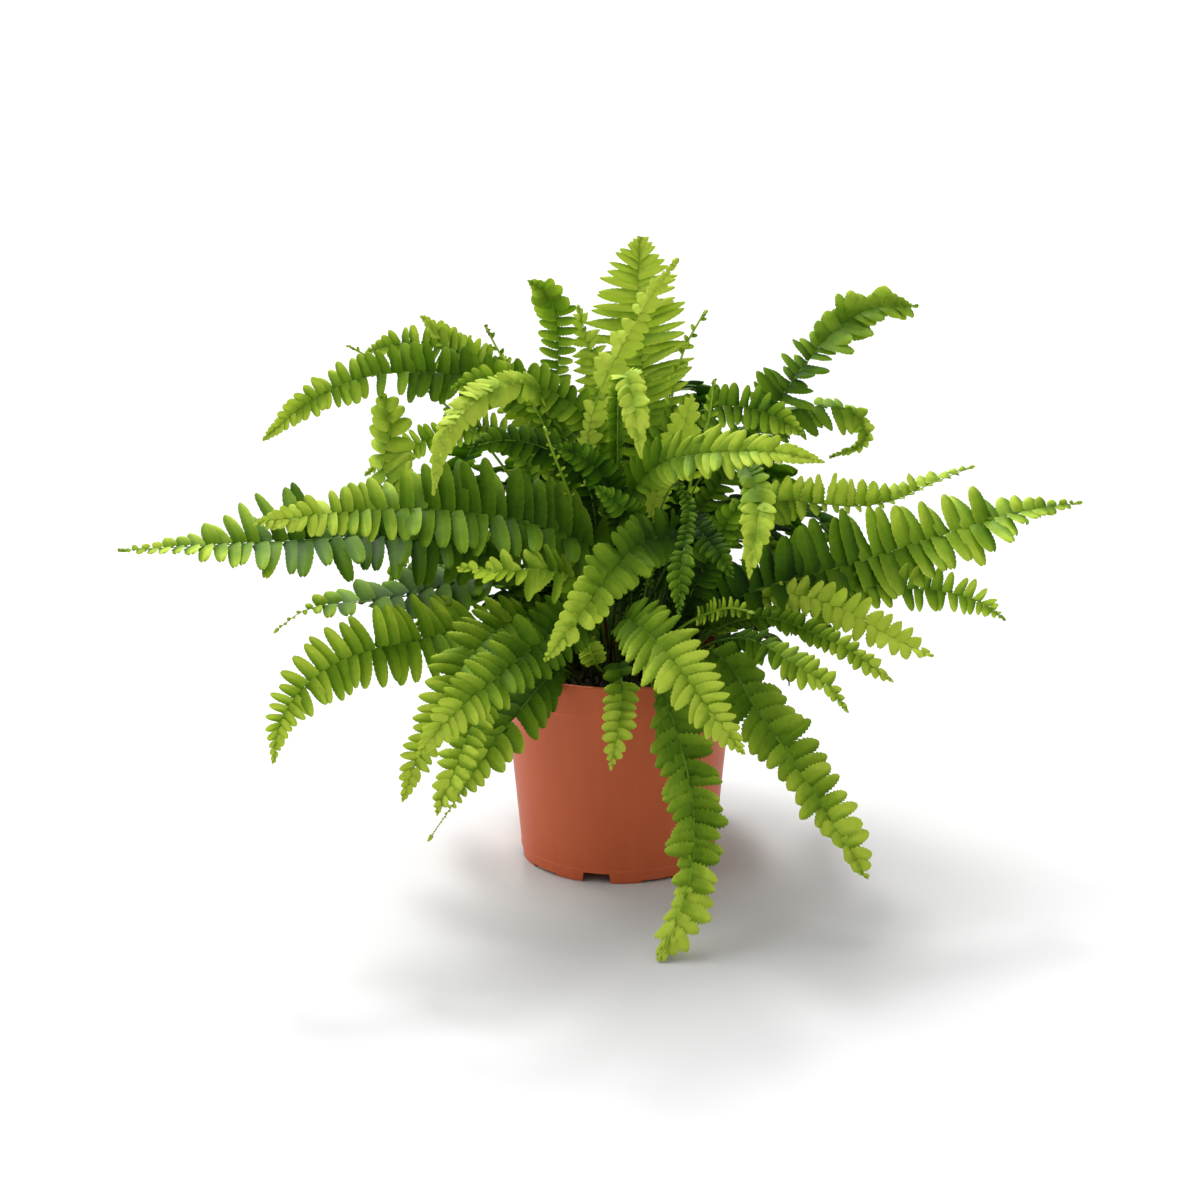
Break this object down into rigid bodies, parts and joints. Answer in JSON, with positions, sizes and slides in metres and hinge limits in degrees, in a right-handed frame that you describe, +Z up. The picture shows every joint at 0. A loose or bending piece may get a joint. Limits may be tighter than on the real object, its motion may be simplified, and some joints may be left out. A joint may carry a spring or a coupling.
{
  "type": "potted fern",
  "caption": "Small leafy Boston fern with arching pinnate fronds growing from a crown in growing mix, in a tapered terracotta-coloured plastic nursery pot.",
  "frame": {"origin": "on the floor under the middle of the plant's plan extents, almost on the pot's axis", "axes": "+Z up along the pot's axis, +X to the plant's right across its widest spread, the fullest side of the plant faces -Y"},
  "size_m": [0.4684, 0.2984, 0.3097],
  "materials": {
    "pot": "satin terracotta-coloured plastic",
    "soil": "dark damp peat mix",
    "crown": "scaly crown with young croziers",
    "frond_mature": "glossy mid green leaf",
    "frond_young": "glossy yellow-green leaf"
  },
  "bodies": {
    "root": {"nursery_pot": "pot", "growing_mix": "soil", "crown": "crown", "frond_01": "frond_mature", "frond_02": "frond_mature", "frond_03": "frond_mature", "frond_04": "frond_mature", "frond_05": "frond_mature", "frond_06": "frond_mature", "frond_07": "frond_young", "frond_08": "frond_mature", "frond_09": "frond_young", "frond_10": "frond_young", "frond_11": "frond_young", "frond_12": "frond_mature", "frond_13": "frond_mature", "frond_14": "frond_mature", "frond_15": "frond_mature", "frond_16": "frond_young", "frond_17": "frond_mature", "frond_18": "frond_young", "frond_19": "frond_mature", "frond_20": "frond_young", "frond_21": "frond_mature", "frond_22": "frond_mature", "frond_23": "frond_young", "frond_24": "frond_young", "frond_25": "frond_young", "frond_26": "frond_young", "frond_27": "frond_young", "frond_28": "frond_mature", "frond_29": "frond_mature", "frond_30": "frond_young", "frond_31": "frond_mature", "frond_32": "frond_young", "frond_33": "frond_young", "frond_34": "frond_young", "frond_35": "frond_mature", "frond_36": "frond_young", "frond_37": "frond_young", "frond_38": "frond_mature", "frond_39": "frond_mature", "frond_40": "frond_mature", "frond_41": "frond_mature", "frond_42": "frond_mature", "frond_43": "frond_mature", "frond_44": "frond_mature", "back_tuft_01": "frond_mature", "back_tuft_02": "frond_mature", "back_tuft_03": "frond_mature", "back_tuft_04": "frond_mature", "back_tuft_05": "frond_mature", "back_tuft_06": "frond_mature", "back_tuft_07": "frond_mature", "back_tuft_08": "frond_mature", "back_tuft_09": "frond_mature", "back_tuft_10": "frond_mature", "back_tuft_11": "frond_mature", "back_tuft_12": "frond_mature", "back_tuft_13": "frond_mature"}
  },
  "joints": []
}
